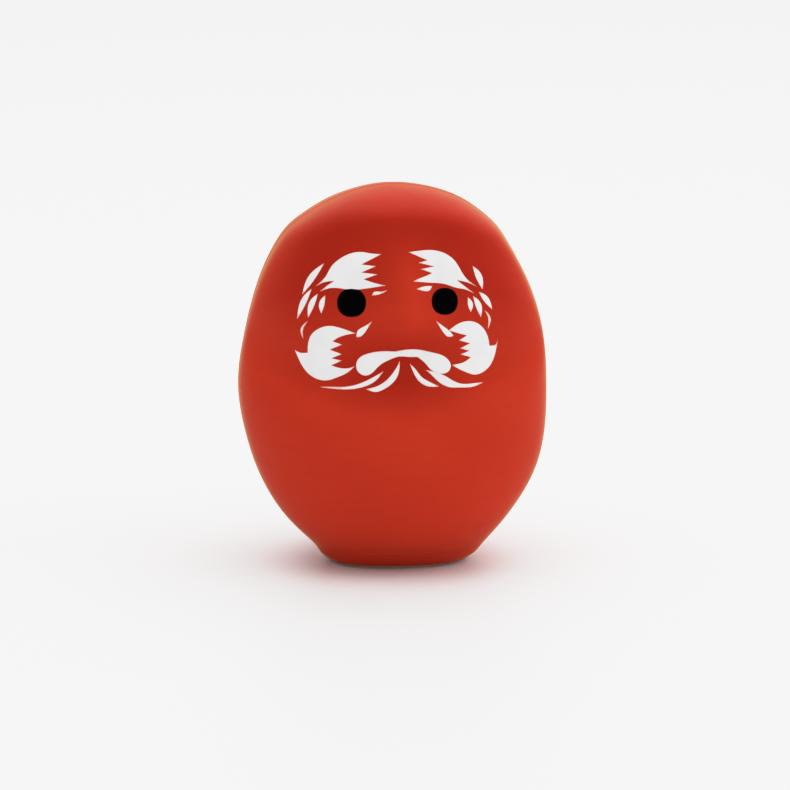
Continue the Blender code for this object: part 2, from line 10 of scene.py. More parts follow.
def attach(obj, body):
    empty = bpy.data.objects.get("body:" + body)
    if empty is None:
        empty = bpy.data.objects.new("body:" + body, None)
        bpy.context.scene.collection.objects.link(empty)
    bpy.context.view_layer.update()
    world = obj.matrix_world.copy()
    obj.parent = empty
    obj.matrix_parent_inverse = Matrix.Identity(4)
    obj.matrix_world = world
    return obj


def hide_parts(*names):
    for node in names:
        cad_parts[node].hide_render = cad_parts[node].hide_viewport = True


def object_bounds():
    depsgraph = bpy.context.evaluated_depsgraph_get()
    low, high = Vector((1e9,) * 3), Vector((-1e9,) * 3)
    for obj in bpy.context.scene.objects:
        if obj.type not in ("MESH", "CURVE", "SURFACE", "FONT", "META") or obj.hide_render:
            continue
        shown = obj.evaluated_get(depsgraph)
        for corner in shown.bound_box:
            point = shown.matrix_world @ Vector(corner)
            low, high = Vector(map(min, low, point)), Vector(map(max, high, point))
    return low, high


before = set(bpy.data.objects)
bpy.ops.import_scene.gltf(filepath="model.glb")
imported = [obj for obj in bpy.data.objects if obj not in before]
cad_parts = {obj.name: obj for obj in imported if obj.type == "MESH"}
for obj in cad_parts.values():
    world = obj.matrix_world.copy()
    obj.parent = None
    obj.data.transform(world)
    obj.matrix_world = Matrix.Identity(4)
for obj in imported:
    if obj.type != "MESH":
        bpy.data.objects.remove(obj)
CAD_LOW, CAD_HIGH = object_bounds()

# The doll's own unit. Its sizes are in millimetres of a doll 100 mm tall, and
# MM turns them into metres in the frame. The floor and the lights are in metres.
HEIGHT = 100.0
MM = (CAD_HIGH.z - CAD_LOW.z) / HEIGHT

# ---------------------------------------------------------------- the shape

# Cross-sections from the base up: height, then the reach to the left, right,
# front and back of the line where the seam plane meets the middle, and how
# square the front half is.
RINGS = (
    (0.0, 16.2, 17.9, 12.4, 23.4, 2.15),
    (0.8, 18.1, 20.4, 14.0, 25.6, 2.15),
    (5.3, 21.1, 24.0, 18.8, 29.0, 2.15),
    (12.0, 28.1, 29.6, 26.4, 36.0, 2.15),
    (22.0, 34.5, 36.3, 31.5, 42.0, 2.15),
    (34.0, 38.5, 39.9, 33.8, 45.2, 2.15),
    (47.0, 40.6, 40.6, 33.2, 46.0, 2.15),
    (61.0, 39.0, 39.2, 31.9, 45.0, 2.3),
    (75.0, 35.4, 35.0, 30.4, 41.6, 2.7),
    (86.0, 29.9, 29.4, 28.4, 36.0, 3.1),
    (91.0, 24.9, 25.3, 27.6, 31.8, 3.2),
    (95.3, 18.1, 19.4, 25.2, 25.6, 2.9),
    (98.7, 9.4, 10.5, 15.8, 14.8, 2.5),
)
SEAM_Y = -6.25
SQUARENESS = 2.15        # of the back half, and of the foot
FOOT_ROW = 1             # where the foot's side starts
SHELL_ROW = 2            # where the shell starts
WIDEST_ROW = 6
CROWN_ROW = len(RINGS)
WALL = 1.8
DISC_THICKNESS = 0.5

# The face is let into the front between the hood's brim and the chest.
BRIM_TOP = 97.0
BRIM_MIDDLE = -3.5
BRIM_DROP = 22.0         # how far the brim comes down at the sides
BRIM_BEND = 35.5         # reach at which most of that drop is done
CHEST_TOP = 48.3
CHEST_LIFT = 0.0072      # how fast the chest's upper edge climbs towards the sides
FACE_DEPTH = 5.1
# share of the way from brim to chest, share of the full depth
FACE_PROFILE = (
    (-0.20, 0.0),
    (-0.04, 0.0),
    (0.05, 0.20),
    (0.13, 0.39),
    (0.40, 0.52),
    (0.72, 0.73),
    (0.97, 1.0),
    (1.06, 0.82),
    (1.16, 0.44),
    (1.27, 0.13),
    (1.38, 0.0),
    (1.50, 0.0),
)
# share of the way from brim to chest, depth of the painted shade: the red is darkened in the face's
# hollow, where shade falls under the brim
PAINTED_SHADE_PROFILE = (
    (-0.20, 0.0),
    (-0.07, 0.1),
    (0.06, 0.9),
    (0.20, 1.0),
    (0.38, 1.0),
    (0.60, 0.6),
    (0.85, 0.3),
    (1.00, 0.25),
    (1.10, 0.0),
    (1.50, 0.0),
)

# distance from the middle, height, half width, half height, rise
SWELLINGS = (
    (0.0, 94.5, 22.0, 2.4, 0.3),       # hood brim
    (13.0, 82.5, 8.0, 4.0, 0.8),       # brows
    (12.5, 75.0, 6.0, 4.5, -0.9),      # eye sockets
    (19.0, 43.0, 14.0, 4.5, 0.6),      # chest
)
# the same, for what isn't mirrored
NOSE = (
    (1.6, 82.0, 4.5, 6.0, 1.0),        # between the brows
    (1.6, 74.5, 4.8, 7.5, 2.3),        # bridge
    (1.8, 67.5, 6.0, 4.2, 3.1),        # tip
    (8.6, 67.0, 3.6, 3.8, 1.0),        # right wing
    (-5.6, 67.8, 4.0, 4.6, 1.2),       # left wing
    (19.0, 65.0, 8.0, 6.0, 0.8),       # right cheek
    (-19.0, 64.0, 8.0, 6.0, 0.6),      # left cheek
    (1.0, 60.5, 10.0, 2.8, -0.6),      # under the nose
    (0.0, 51.0, 16.0, 2.8, -0.7),      # under the chin
)
# the same for the painted shade and light: painted shade, deeper around the mouth; painted light,
# where the shade is taken off, pale between the eyes and on the nose
MOUTH_PAINTED_SHADE = (-1.0, 55.0, 15.0, 8.0, 0.8)
PAINTED_LIGHT_SPOTS = (
    (2.4, 77.5, 7.0, 10.0, 1.0),
    (1.0, 69.0, 12.5, 5.5, 0.9),
)
PAINTED_SHADE_FADE = 1.6          # how much sooner than the relief the painted shade fades out sideways
RELIEF_START = 0.05      # share of the front's depth where the relief starts
RELIEF_FULL = 0.70       # and where it is full
CROWN_REACH = 12.0       # the relief dies away on rings whose front reach is less

# Hand-made unevenness: waves across the surface, and the glued seam's ridge.
WAVES = 14
WAVE_SEED = 11
WAVE_LENGTHS = (14.0, 46.0)
WAVE_HEIGHT = 0.05
SEAM_RIDGE = 0.12
SEAM_RIDGE_WIDTH = 0.7

# rows and columns of quads on each half of the shell
FRONT_GRID = (200, 230)
BACK_GRID = (150, 190)
SEAM_CROWDING = 0.06     # how far the columns draw together towards the seam
SHELL_CREASE = 40.0      # degrees from which an edge looks sharp

# the clay plug and the paper disc under it
PLUG_COLUMNS = 280
FLANGE_ROWS = 22
FOOT_ROUNDING = 3.0      # height over which the foot's lower edge curves under
FOOT_TUCK = 1.1
FOOT_REACH = 19.0
SPIGOT_INSET = 1.8 * WALL
SPIGOT_TOP = 13.0
SPIGOT_CHAMFER = 1.5
DISC_GAP = 0.02
DISC_INSET = 0.9
DISC_EDGE_WIDTH = 0.1
DISC_EDGE_HEIGHT = 0.08
CUT_WOBBLE = 0.006       # how unevenly the disc was cut, as a share of its reach

# ---------------------------------------------------------------- the marks

# The marks are cut in a flat stencil that stands square to the line from the
# eye to the doll. Straight lines from the eye carry them on to the doll's front.
DOLL_MIDDLE = Vector((0.0, 0.0, 50.0))
EYE_TURN = math.radians(-3.0)
EYE_RISE = math.radians(9.5)
EYE_DISTANCE = 1100.0
STENCIL_DISTANCE = 1065.4
STENCIL_ORIGIN = (1.36, 17.2)
NORMAL_STEP = 0.6        # half the span over which a mark reads the shell's slope
FILM = 0.10              # thickness of a coat of paint
FILM_EDGE = 0.32         # width over which a coat thins out to its edge
FILM_ROOT = 0.06         # how deep a coat's underside sits in the red
FILM_RISE = 0.012        # how far its very edge stands proud
FILM_CREASE = 70.0       # degrees from which an edge looks sharp
PUPIL_LIFT = 0.03        # the pupils lie over the brows where the two touch
OUTLINE_SPACING = 0.28
FILL_SPACING = 0.42
FILL_MARGIN = 0.4        # clear of the outline, as a share of the spacing

# Each row is one smooth curve that goes on from the last point of the row
# before, so corners are where two rows meet. Points are across and up.
OUTLINES = {
    "brow_left": (
        ((-7.1, 12.5), (-8.5, 12.75), (-12.3, 12.3), (-14.6, 11.1), (-16.9, 9.0),
         (-18.2, 6.7), (-21.0, 3.9)),
        ((-18.9, 4.95), (-16.1, 5.4)),
        ((-17.9, 4.2), (-19.7, 2.7)),
        ((-17.0, 3.55), (-12.3, 3.15), (-8.4, 3.35), (-2.9, 4.2)),
        ((-5.0, 4.65), (-8.5, 5.8)),
        ((-5.0, 7.05),),
        ((-9.1, 7.55),),
        ((-5.4, 9.15),),
        ((-9.1, 9.6),),
        ((-7.0, 10.7), (-4.0, 12.25)),
    ),
    "brow_right": (
        ((6.3, 11.3), (7.8, 10.65)),
        ((5.5, 10.05),),
        ((9.5, 9.1),),
        ((6.1, 8.4),),
        ((9.0, 7.4),),
        ((7.4, 6.65), (5.6, 5.95), (4.2, 5.25)),
        ((9.0, 4.9), (12.3, 4.55), (15.3, 3.6), (17.0, 3.3), (19.8, 2.2)),
        ((17.4, 4.0), (15.4, 5.55)),
        ((17.3, 5.2), (20.6, 3.9)),
        ((17.8, 6.0), (16.3, 8.2), (15.0, 10.3), (12.4, 12.4), (8.8, 13.3),
         (6.4, 13.2), (3.0, 12.75)),
    ),
    "brow_dash_left": (
        ((-6.0, 2.45), (-4.2, 2.65), (-2.5, 3.0)),
        ((-4.0, 2.1), (-6.4, 1.65)),
    ),
    "brow_dash_right": (
        ((6.6, 2.85), (8.2, 2.85), (9.0, 4.05)),
        ((7.4, 4.05), (5.0, 3.3)),
    ),
    "nose_stroke_left": (
        ((-8.5, -6.3), (-10.1, -7.4), (-10.45, -9.0)),
        ((-9.7, -9.0), (-7.8, -7.2), (-6.4, -5.0)),
    ),
    "nose_stroke_right": (
        ((10.9, -6.3), (12.0, -8.0), (13.2, -8.95), (14.5, -8.7)),
        ((13.8, -7.8), (12.6, -6.75), (10.05, -4.95)),
    ),
    "whisker_left": (
        ((-12.1, -7.5), (-14.4, -6.7), (-17.0, -6.15), (-20.0, -6.8),
         (-22.1, -8.6), (-22.85, -11.0), (-22.9, -13.0)),
        ((-24.7, -13.0), (-26.2, -12.3)),
        ((-25.0, -15.1), (-23.2, -17.9), (-20.9, -19.6), (-18.5, -20.15),
         (-15.2, -19.3), (-12.6, -18.05), (-10.85, -16.5)),
        ((-12.6, -17.0), (-15.2, -16.8), (-16.8, -16.25)),
        ((-14.2, -15.05),),
        ((-16.8, -14.45),),
        ((-14.2, -13.4),),
        ((-17.2, -12.2),),
        ((-14.1, -10.95),),
        ((-16.5, -10.1),),
        ((-15.3, -9.3), (-13.2, -8.5), (-10.6, -8.05)),
    ),
    "whisker_right": (
        ((15.8, -8.05), (17.9, -8.6)),
        ((15.9, -9.85),),
        ((18.7, -10.6),),
        ((16.2, -11.9),),
        ((18.5, -12.5),),
        ((16.3, -13.45),),
        ((18.9, -14.15),),
        ((17.4, -15.3), (15.6, -15.9), (14.1, -16.15)),
        ((15.7, -17.1), (18.0, -18.15), (20.0, -18.65), (22.0, -18.0),
         (23.9, -16.2), (25.2, -13.0), (25.85, -9.5)),
        ((25.3, -10.9), (23.7, -11.2)),
        ((23.3, -9.0), (22.1, -6.7), (20.2, -5.25), (18.3, -4.9), (15.7, -5.6),
         (13.3, -7.3)),
    ),
    "moustache": (
        ((2.2, -12.25), (5.3, -12.2), (8.9, -12.9), (11.4, -13.6), (13.2, -14.9),
         (13.8, -16.4), (13.1, -17.9), (11.2, -18.4), (9.1, -17.7), (7.0, -15.5),
         (5.2, -14.1)),
        ((3.0, -14.1), (0.6, -14.0), (-1.6, -14.7), (-5.0, -16.8), (-6.0, -17.9),
         (-8.1, -18.9), (-10.0, -17.9), (-10.5, -16.6), (-9.9, -14.6), (-8.2, -13.5),
         (-5.4, -12.8), (-2.3, -12.6), (-0.5, -12.7)),
    ),
    "chin_stroke_inner_left": (
        ((0.0, -16.6), (-1.2, -18.4), (-3.1, -20.4), (-5.4, -21.7), (-7.9, -22.35)),
        ((-5.6, -23.1), (-3.0, -22.2), (-1.1, -20.8), (0.3, -18.6), (0.7, -15.1)),
    ),
    "chin_stroke_inner_right": (
        ((4.3, -18.3), (5.7, -20.4), (7.4, -21.5), (10.8, -21.7)),
        ((8.2, -20.4), (6.2, -19.1), (4.8, -17.3), (3.3, -15.85)),
    ),
    "chin_stroke_outer_left": (
        ((-6.2, -19.35), (-9.4, -20.85), (-13.3, -21.75), (-17.0, -21.75), (-19.8, -21.8)),
        ((-16.4, -22.25), (-12.0, -22.4), (-8.6, -21.8), (-5.6, -20.3), (-3.5, -17.8)),
    ),
    "chin_stroke_outer_right": (
        ((9.0, -18.9), (11.2, -20.9), (13.4, -21.85), (16.4, -21.95), (19.2, -21.8),
         (22.1, -20.6)),
        ((19.6, -20.85), (16.9, -21.0), (14.8, -20.4), (12.4, -19.0), (7.4, -17.45)),
    ),
}
# across, up, half width and half height
PUPILS = {
    "pupil_left": (-11.65, -0.22, 3.7, 3.65),
    "pupil_right": (12.25, 0.15, 3.35, 3.45),
}
PUPIL_SQUARENESS = 2.2
# root, middle and tip of each leaf's spine, and its width
TEMPLE_LEAVES = {
    "temple_stroke_left": (
        ((-18.7, 9.9), (-21.9, 6.2), (-24.3, 1.9), 1.7),
        ((-21.9, 3.4), (-24.0, 0.0), (-25.6, -4.4), 1.5),
        ((-20.3, 2.1), (-21.9, -0.6), (-22.8, -4.1), 1.5),
        ((-18.4, 1.7), (-19.3, -0.5), (-19.4, -3.0), 1.4),
        ((-22.9, -4.9), (-24.4, -7.0), (-24.0, -9.4), 0.6),
    ),
    "temple_stroke_right": (
        ((19.4, 9.2), (21.0, 6.5), (21.9, 3.2), 1.6),
        ((21.0, 2.6), (22.8, 0.7), (24.4, -1.9), 1.4),
        ((19.5, 1.5), (20.9, -0.9), (21.5, -3.9), 1.5),
        ((18.2, 1.2), (18.8, -0.6), (18.9, -2.6), 1.3),
        ((22.5, -2.2), (23.7, -4.2), (23.3, -6.9), 0.6),
    ),
}


# ---------------------------------------------------------------- surfaces

def cubic_curve(knots, values):
    """The natural cubic curve through values at knots, as a function of the knot value."""
    knots = np.asarray(knots, float)
    values = np.asarray(values, float)
    steps = np.diff(knots)
    count = len(knots)
    matrix = np.eye(count)
    values = values.reshape(count, -1)
    right_side = np.zeros_like(values)
    slopes = np.diff(values, axis=0) / steps[:, None]
    for i in range(1, count - 1):
        matrix[i, i - 1:i + 2] = (steps[i - 1], 2 * (steps[i - 1] + steps[i]), steps[i])
        right_side[i] = 6 * (slopes[i] - slopes[i - 1])
    bends = np.linalg.solve(matrix, right_side)

    def at(where):
        where = np.asarray(where, float)
        i = np.clip(np.searchsorted(knots, where, side="right") - 1, 0, count - 2)
        step = steps[i][..., None]
        b = (where - knots[i])[..., None] / step
        a = 1 - b
        bend = ((a ** 3 - a) * bends[i] + (b ** 3 - b) * bends[i + 1]) * step ** 2 / 6
        result = a * values[i] + b * values[i + 1] + bend
        return result[..., 0] if values.shape[1] == 1 else result

    return at


def shell_loft():
    """The rings as one curve that runs on over the crown, so the crown is round."""
    up = np.array(RINGS)
    over = up[::-1] * (1, -1, -1, -1, -1, 1)
    crown = ((HEIGHT, 0, 0, 0, 0, SQUARENESS),)
    table = np.concatenate((up, crown, over))
    return cubic_curve(np.arange(len(table)), table)


LOFT = shell_loft()
FACE_CURVE = cubic_curve(*zip(*FACE_PROFILE))
PAINTED_SHADE_CURVE = cubic_curve(*zip(*PAINTED_SHADE_PROFILE))


def ring_height(row):
    """A ring's height above the ground."""
    return RINGS[row][0]


def ring_reaches(row):
    """A ring's reach to the left, right, front and back."""
    return np.array(RINGS[row][1:5])


def squared(wave, squareness):
    """A sine or cosine bent so that the circle it draws becomes a superellipse."""
    return np.sign(wave) * np.abs(wave) ** (2 / squareness)


def gentle(share):
    """A share from 0 to 1 that eases in and out."""
    share = np.clip(share, 0, 1)
    return share * share * (3 - 2 * share)


def down_the_face(x, z):
    """Share of the way from the hood's brim to the chest."""
    brim = BRIM_TOP - BRIM_DROP * (1 - np.exp(-((x - BRIM_MIDDLE) / BRIM_BEND) ** 4))
    chest = CHEST_TOP + CHEST_LIFT * x ** 2
    return np.clip((brim - z) / (brim - chest), FACE_PROFILE[0][0], FACE_PROFILE[-1][0])


def swelling(x, z, middle, height, half_width, half_height, amount):
    """A soft round swelling, highest at its middle."""
    return amount * np.exp(-((x - middle) / half_width) ** 2 - ((z - height) / half_height) ** 2)


def relief(x, z):
    """How far the front stands proud of the plain loft at this place."""
    rise = -FACE_DEPTH * FACE_CURVE(down_the_face(x, z))
    for middle, *rest in SWELLINGS:
        rise = rise + swelling(x, z, middle, *rest)
        if middle:
            rise = rise + swelling(x, z, -middle, *rest)
    for spot in NOSE:
        rise = rise + swelling(x, z, *spot)
    return rise


def front_share(deep):
    """1 well inside the front, 0 towards the sides and on the back."""
    return gentle((-deep - RELIEF_START) / (RELIEF_FULL - RELIEF_START))


def paint_tone(x, y, z):
    """How deep the painted shade is at this place: 1 in the hollow of the face, where the red is
    darkened as if shaded, 0 on the robe.
    """
    tone = np.clip(PAINTED_SHADE_CURVE(down_the_face(x, z)) + swelling(x, z, *MOUTH_PAINTED_SHADE), 0, 1)
    for spot in PAINTED_LIGHT_SPOTS:
        tone = tone * (1 - swelling(x, z, *spot))
    front_reach = ring_reaches(WIDEST_ROW)[2]
    return tone * front_share((y - SEAM_Y) / front_reach) ** PAINTED_SHADE_FADE


def wave_table():
    """Directions, phases and heights of the hand-made unevenness."""
    chance = np.random.RandomState(WAVE_SEED)
    directions = chance.normal(size=(WAVES, 3))
    directions /= np.linalg.norm(directions, axis=1, keepdims=True)
    lengths = chance.uniform(*WAVE_LENGTHS, size=WAVES)
    phases = chance.uniform(0, 2 * math.pi, size=WAVES)
    heights = WAVE_HEIGHT * lengths / WAVE_LENGTHS[1]
    return directions * (2 * math.pi / lengths)[:, None], phases, heights


WAVE_TABLE = wave_table()


def unevenness(points):
    """Height of the hand-made waves at points."""
    total = np.zeros(points.shape[:-1])
    for direction, phase, height in zip(*WAVE_TABLE):
        total += height * np.sin(points @ direction + phase)
    return total


def smooth_skin(rows, turns):
    """Points of the shell's outer surface, without the small unevenness."""
    z, left, right, front, back, squareness = np.moveaxis(LOFT(rows), -1, 0)
    squareness = np.where(np.sin(turns) > 0, SQUARENESS, squareness)
    across = squared(np.cos(turns), squareness)
    deep = squared(np.sin(turns), squareness)
    x = np.where(across > 0, right, left) * across
    y = SEAM_Y + np.where(deep > 0, back, front) * deep
    y = y - front_share(deep) * gentle(front / CROWN_REACH) * relief(x, z)
    return np.stack((x, y, z), axis=-1)


def smooth_normals(rows, turns):
    """Outward normals of the smooth skin."""
    small = 0.001
    rows = np.clip(rows, small, CROWN_ROW - small)
    along = smooth_skin(rows + small, turns) - smooth_skin(rows - small, turns)
    around = smooth_skin(rows, turns + small) - smooth_skin(rows, turns - small)
    normals = np.cross(around, along)
    return normals / np.linalg.norm(normals, axis=-1, keepdims=True)


def skin(rows, turns):
    """Points of the finished outer surface, and its smooth normals."""
    points = smooth_skin(rows, turns)
    normals = smooth_normals(rows, turns)
    ridge = SEAM_RIDGE * np.exp(-((points[..., 1] - SEAM_Y) / SEAM_RIDGE_WIDTH) ** 2)
    rise = unevenness(points) + ridge
    return points + normals * rise[..., None], normals


# ---------------------------------------------------------------- meshes

def add_piece(name, points, faces, material, crease=SHELL_CREASE):
    """A mesh piece in the frame, riding on the doll's one body."""
    mesh = bpy.data.meshes.new(name)
    mesh.from_pydata(np.asarray(points, float) * MM, [], faces)
    mesh.validate()
    mesh.shade_smooth()
    mesh.set_sharp_from_angle(angle=math.radians(crease))
    mesh.materials.append(material)
    piece = bpy.data.objects.new(name + "_fine", mesh)
    bpy.context.scene.collection.objects.link(piece)
    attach(piece, "root")
    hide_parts(name)
    return piece


def set_point_values(piece, name, values):
    """A number on every vertex, for the material to read."""
    attribute = piece.data.attributes.new(name, "FLOAT", "POINT")
    attribute.data.foreach_set("value", values.astype(np.float32))


def bridge(lower, upper, closed=False):
    """Quads between two runs of vertex numbers."""
    count = len(lower)
    spans = count if closed else count - 1
    faces = []
    for i in range(spans):
        j = (i + 1) % count
        faces.append((lower[i], lower[j], upper[j], upper[i]))
    return faces


def turned_round(faces):
    return [tuple(reversed(face)) for face in faces]


def half_shell_points(first_turn, grid):
    """Outer and inner skin of half the shell, cut at the seam plane, and the top of each."""
    row_count, column_count = grid
    rows = np.linspace(SHELL_ROW, CROWN_ROW, row_count + 1)[:-1]
    shares = np.linspace(0, 1, column_count + 1)
    shares = shares - SEAM_CROWDING * np.sin(2 * math.pi * shares)
    turns = first_turn + math.pi * shares
    row_grid, turn_grid = np.meshgrid(rows, turns, indexing="ij")
    outer, normals = skin(row_grid, turn_grid)
    inner = outer - WALL * normals
    inner[0, :, 2] = outer[0, :, 2]
    side = math.copysign(1, math.sin(first_turn + math.pi / 2))
    for sheet in (outer, inner):
        sheet[:, (0, -1), 1] = SEAM_Y
        sheet[..., 1] = SEAM_Y + side * np.maximum(side * (sheet[..., 1] - SEAM_Y), 0)
    crown = np.array(((0.0, SEAM_Y, HEIGHT),))
    crown[:, 2] += unevenness(crown) + SEAM_RIDGE
    return np.concatenate((outer.reshape(-1, 3), inner.reshape(-1, 3), crown, crown - (0, 0, WALL)))


def half_shell_faces(grid):
    """Both skins of half the shell, its lower edge and its edges along the seam."""
    row_count, column_count = grid
    size = row_count * (column_count + 1)
    numbers = np.arange(size).reshape(row_count, column_count + 1)
    outside = numbers.tolist()
    inside = (numbers + size).tolist()
    top_out = 2 * size
    top_in = top_out + 1
    faces = []
    for lower, upper in zip(outside, outside[1:]):
        faces += bridge(lower, upper)
    for lower, upper in zip(inside, inside[1:]):
        faces += turned_round(bridge(lower, upper))
    for i in range(column_count):
        faces.append((outside[-1][i], outside[-1][i + 1], top_out))
        faces.append((inside[-1][i + 1], inside[-1][i], top_in))
    faces += bridge(inside[0], outside[0])
    first_out = [row[0] for row in outside] + [top_out]
    first_in = [row[0] for row in inside] + [top_in]
    last_out = [row[-1] for row in outside] + [top_out]
    last_in = [row[-1] for row in inside] + [top_in]
    return faces + bridge(first_out, first_in) + bridge(last_in, last_out)


def ring_points(reaches, height, wobble=0.0):
    """One level of the plug or of its disc."""
    left, right, front, back = reaches
    turns = np.arange(PLUG_COLUMNS) * 2 * math.pi / PLUG_COLUMNS
    across = squared(np.cos(turns), SQUARENESS)
    deep = squared(np.sin(turns), SQUARENESS)
    swell = 1 + wobble * (np.sin(3 * turns + 1.0) + 0.6 * np.sin(7 * turns + 2.0))
    x = np.where(across > 0, right, left) * across * swell
    y = SEAM_Y + np.where(deep > 0, back, front) * deep * swell
    return np.stack((x, y, np.full(PLUG_COLUMNS, height)), axis=-1)


def stacked_rings(rings):
    """A closed solid through rings that lie one above the other."""
    columns = len(rings[0])
    numbers = np.arange(len(rings) * columns).reshape(len(rings), columns).tolist()
    faces = [tuple(reversed(numbers[0])), tuple(numbers[-1])]
    for lower, upper in zip(numbers, numbers[1:]):
        faces += bridge(lower, upper, closed=True)
    return np.concatenate(rings), faces


# ---------------------------------------------------------------- paint films

TO_EYE = Vector((math.sin(EYE_TURN) * math.cos(EYE_RISE),
                 -math.cos(EYE_TURN) * math.cos(EYE_RISE),
                 math.sin(EYE_RISE)))
EYE = DOLL_MIDDLE + TO_EYE * EYE_DISTANCE
ACROSS = (-TO_EYE).cross(Vector((0, 0, 1))).normalized()
UPWARD = ACROSS.cross(-TO_EYE)


class Stencil:
    """Carries points of the flat stencil on to the doll's front."""

    def __init__(self, points, faces):
        self.surface = BVHTree.FromPolygons([Vector(point) for point in points], faces)

    def spot(self, place):
        """Where a place on the stencil falls on the shell."""
        across = place[0] + STENCIL_ORIGIN[0]
        up = place[1] + STENCIL_ORIGIN[1]
        ray = -TO_EYE * STENCIL_DISTANCE + ACROSS * across + UPWARD * up
        return self.surface.ray_cast(EYE, ray.normalized())[0]

    def normal(self, place):
        """The shell's outward direction there."""
        right = self.spot((place[0] + NORMAL_STEP, place[1]))
        left = self.spot((place[0] - NORMAL_STEP, place[1]))
        top = self.spot((place[0], place[1] + NORMAL_STEP))
        bottom = self.spot((place[0], place[1] - NORMAL_STEP))
        return (right - left).cross(top - bottom).normalized()


def outline_points(stretches):
    """Points along an outline, corners included, about one spacing apart."""
    corner = stretches[-1][-1]
    points = []
    for stretch in stretches:
        nodes = np.array((corner,) + tuple(stretch))
        lengths = np.linalg.norm(np.diff(nodes, axis=0), axis=1)
        travelled = np.concatenate(((0.0,), np.cumsum(lengths)))
        count = max(1, round(travelled[-1] / OUTLINE_SPACING))
        curve = cubic_curve(travelled, nodes)
        points += curve(np.linspace(0, travelled[-1], count + 1)[:-1]).tolist()
        corner = stretch[-1]
    return points


def oval_points(oval):
    """Points round a pupil."""
    across, up, half_width, half_height = oval
    count = round(math.pi * (half_width + half_height) / OUTLINE_SPACING)
    turns = np.arange(count) * 2 * math.pi / count
    x = across + half_width * squared(np.cos(turns), PUPIL_SQUARENESS)
    y = up + half_height * squared(np.sin(turns), PUPIL_SQUARENESS)
    return np.stack((x, y), axis=-1).tolist()


def leaf_points(leaf):
    """Points round a leaf that is widest halfway along its spine."""
    root, middle, tip, width = leaf
    spine = cubic_curve((0.0, 0.5, 1.0), (root, middle, tip))
    count = max(4, round(math.dist(root, tip) / OUTLINE_SPACING))
    shares = np.linspace(0, 1, count + 1)
    centres = spine(shares)
    tangents = np.gradient(centres, axis=0)
    tangents /= np.linalg.norm(tangents, axis=1, keepdims=True)
    sideways = np.stack((-tangents[:, 1], tangents[:, 0]), axis=-1)
    half = (np.sin(shares * math.pi) * width / 2)[:, None]
    one_side = centres + half * sideways
    other_side = centres - half * sideways
    return np.concatenate((one_side[:-1], other_side[:0:-1])).tolist()


def anticlockwise(points):
    x, y = np.array(points).T
    area = np.sum(x * np.roll(y, -1) - np.roll(x, -1) * y)
    return points if area > 0 else points[::-1]


def edge_distance(edge, places):
    """Distance from each place to the outline."""
    span = np.roll(edge, -1, axis=0) - edge
    away = places[:, None] - edge[None]
    share = np.clip(np.sum(away * span, axis=2) / np.sum(span ** 2, axis=1), 0, 1)
    return np.min(np.linalg.norm(away - share[..., None] * span, axis=2), axis=1)


def staggered_grid(low, high):
    """Places between two corners, every other row shifted by half a spacing."""
    row_step = FILL_SPACING * math.sqrt(3) / 2
    places = []
    for row, y in enumerate(np.arange(low[1] + row_step / 2, high[1], row_step)):
        for x in np.arange(low[0] + (row % 2) * FILL_SPACING / 2, high[0], FILL_SPACING):
            places.append((x, y))
    return np.array(places).reshape(-1, 2)


def fill_points(edge):
    """Places inside an outline, kept off its edge."""
    places = staggered_grid(edge.min(axis=0), edge.max(axis=0))
    after = np.roll(edge, -1, axis=0)
    x, y = places.T
    crossed = (edge[:, 1] > y[:, None]) != (after[:, 1] > y[:, None])
    rise = np.where(after[:, 1] == edge[:, 1], 1, after[:, 1] - edge[:, 1])
    meets = edge[:, 0] + (y[:, None] - edge[:, 1]) / rise * (after[:, 0] - edge[:, 0])
    inside = np.count_nonzero(crossed & (meets > x[:, None]), axis=1) % 2 == 1
    places = places[inside]
    return places[edge_distance(edge, places) > FILL_SPACING * FILL_MARGIN].tolist()


def paint_film(name, stencil, outline, material, lift=0.0):
    """A coat of paint on the shell: thin towards its edge, with its underside in the red."""
    outline = anticlockwise(outline)
    edge = np.array(outline)
    flat = [Vector(point) for point in outline + fill_points(edge)]
    filled = delaunay_2d_cdt(flat, [], [list(range(len(outline)))], 1, 1e-6)
    places, triangles = filled[0], filled[2]
    distance = edge_distance(edge, np.array([tuple(place) for place in places]))
    share = np.clip(distance / FILM_EDGE, 0, 1)
    thickness = FILM * np.sqrt(1 - (1 - share) ** 2) + lift + FILM_RISE
    under = []
    over = []
    for place, height in zip(places, thickness):
        spot = stencil.spot(place)
        normal = stencil.normal(place)
        under.append(tuple(spot - normal * FILM_ROOT))
        over.append(tuple(spot + normal * float(height)))
    count = len(places)
    edges = {(face[i], face[(i + 1) % 3]) for face in triangles for i in range(3)}
    rim = sorted(pair for pair in edges if (pair[1], pair[0]) not in edges)
    faces = [tuple(i + count for i in face) for face in triangles]
    faces += turned_round(triangles)
    faces += [(a, b, b + count, a + count) for a, b in rim]
    piece = add_piece(name, under + over, faces, material, crease=FILM_CREASE)
    set_point_values(piece, "coat", np.concatenate((share, share)))


# ---------------------------------------------------------------- materials

def new_material(name):
    material = bpy.data.materials.new(name)
    material.use_nodes = True
    return material, material.node_tree, material.node_tree.nodes["Principled BSDF"]


def node(tree, kind, **settings):
    """A node. Settings with a leading underscore are its inputs, the others its properties."""
    made = tree.nodes.new(kind)
    for key, value in settings.items():
        if key.startswith("_"):
            made.inputs[key[1:].replace("_", " ")].default_value = value
        else:
            setattr(made, key, value)
    return made


def millimetres(tree):
    """The place on the object in millimetres."""
    where = node(tree, "ShaderNodeTexCoord")
    scale = node(tree, "ShaderNodeVectorMath", operation="SCALE", _Scale=1000.0)
    tree.links.new(where.outputs["Object"], scale.inputs[0])
    return scale.outputs[0]


